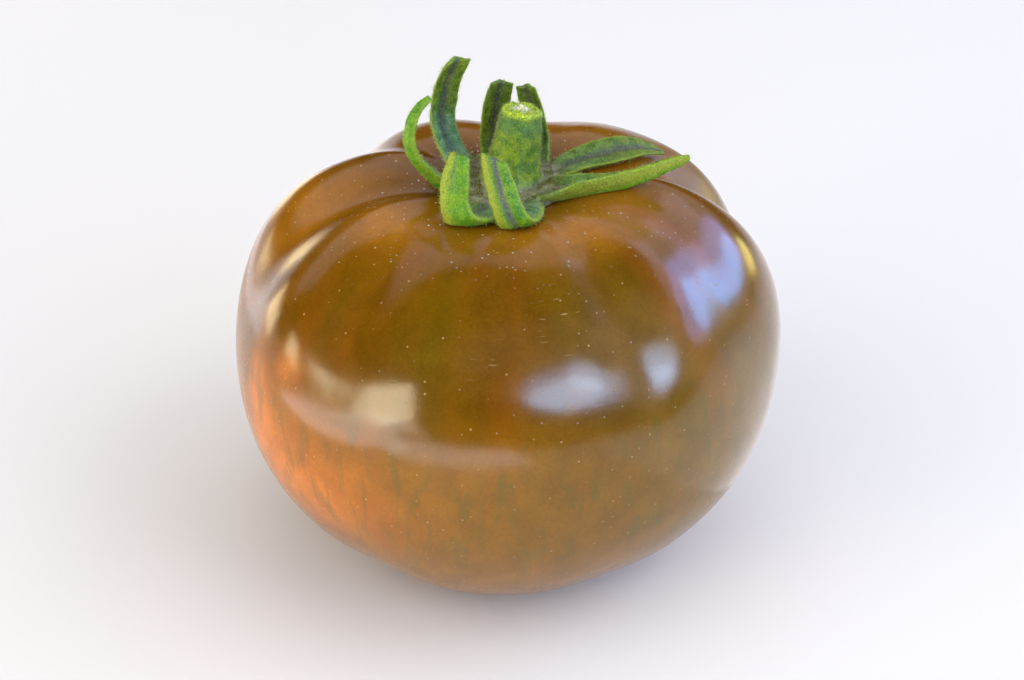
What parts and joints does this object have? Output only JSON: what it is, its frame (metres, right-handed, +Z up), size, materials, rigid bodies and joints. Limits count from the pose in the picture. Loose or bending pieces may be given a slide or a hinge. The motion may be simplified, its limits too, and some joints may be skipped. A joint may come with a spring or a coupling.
{
  "type": "tomato",
  "caption": "Ripe dark beefsteak tomato, squat and ribbed at the shoulders, with its green calyx of curled sepals and a cut stub of stem.",
  "frame": {"origin": "on the surface it stands on, under the middle of the whole part's box", "axes": "+Z up, out of the stem end; -Y towards the side seen in the picture; +X to the right of that side"},
  "size_m": [0.0854, 0.0853, 0.0826],
  "materials": {
    "tomato_skin": "glossy, waxy, olive brown on the shoulders turning orange below",
    "green_calyx": "matte, finely hairy leaf green"
  },
  "bodies": {
    "root": {"fruit": "tomato_skin", "calyx": "green_calyx"}
  },
  "joints": []
}
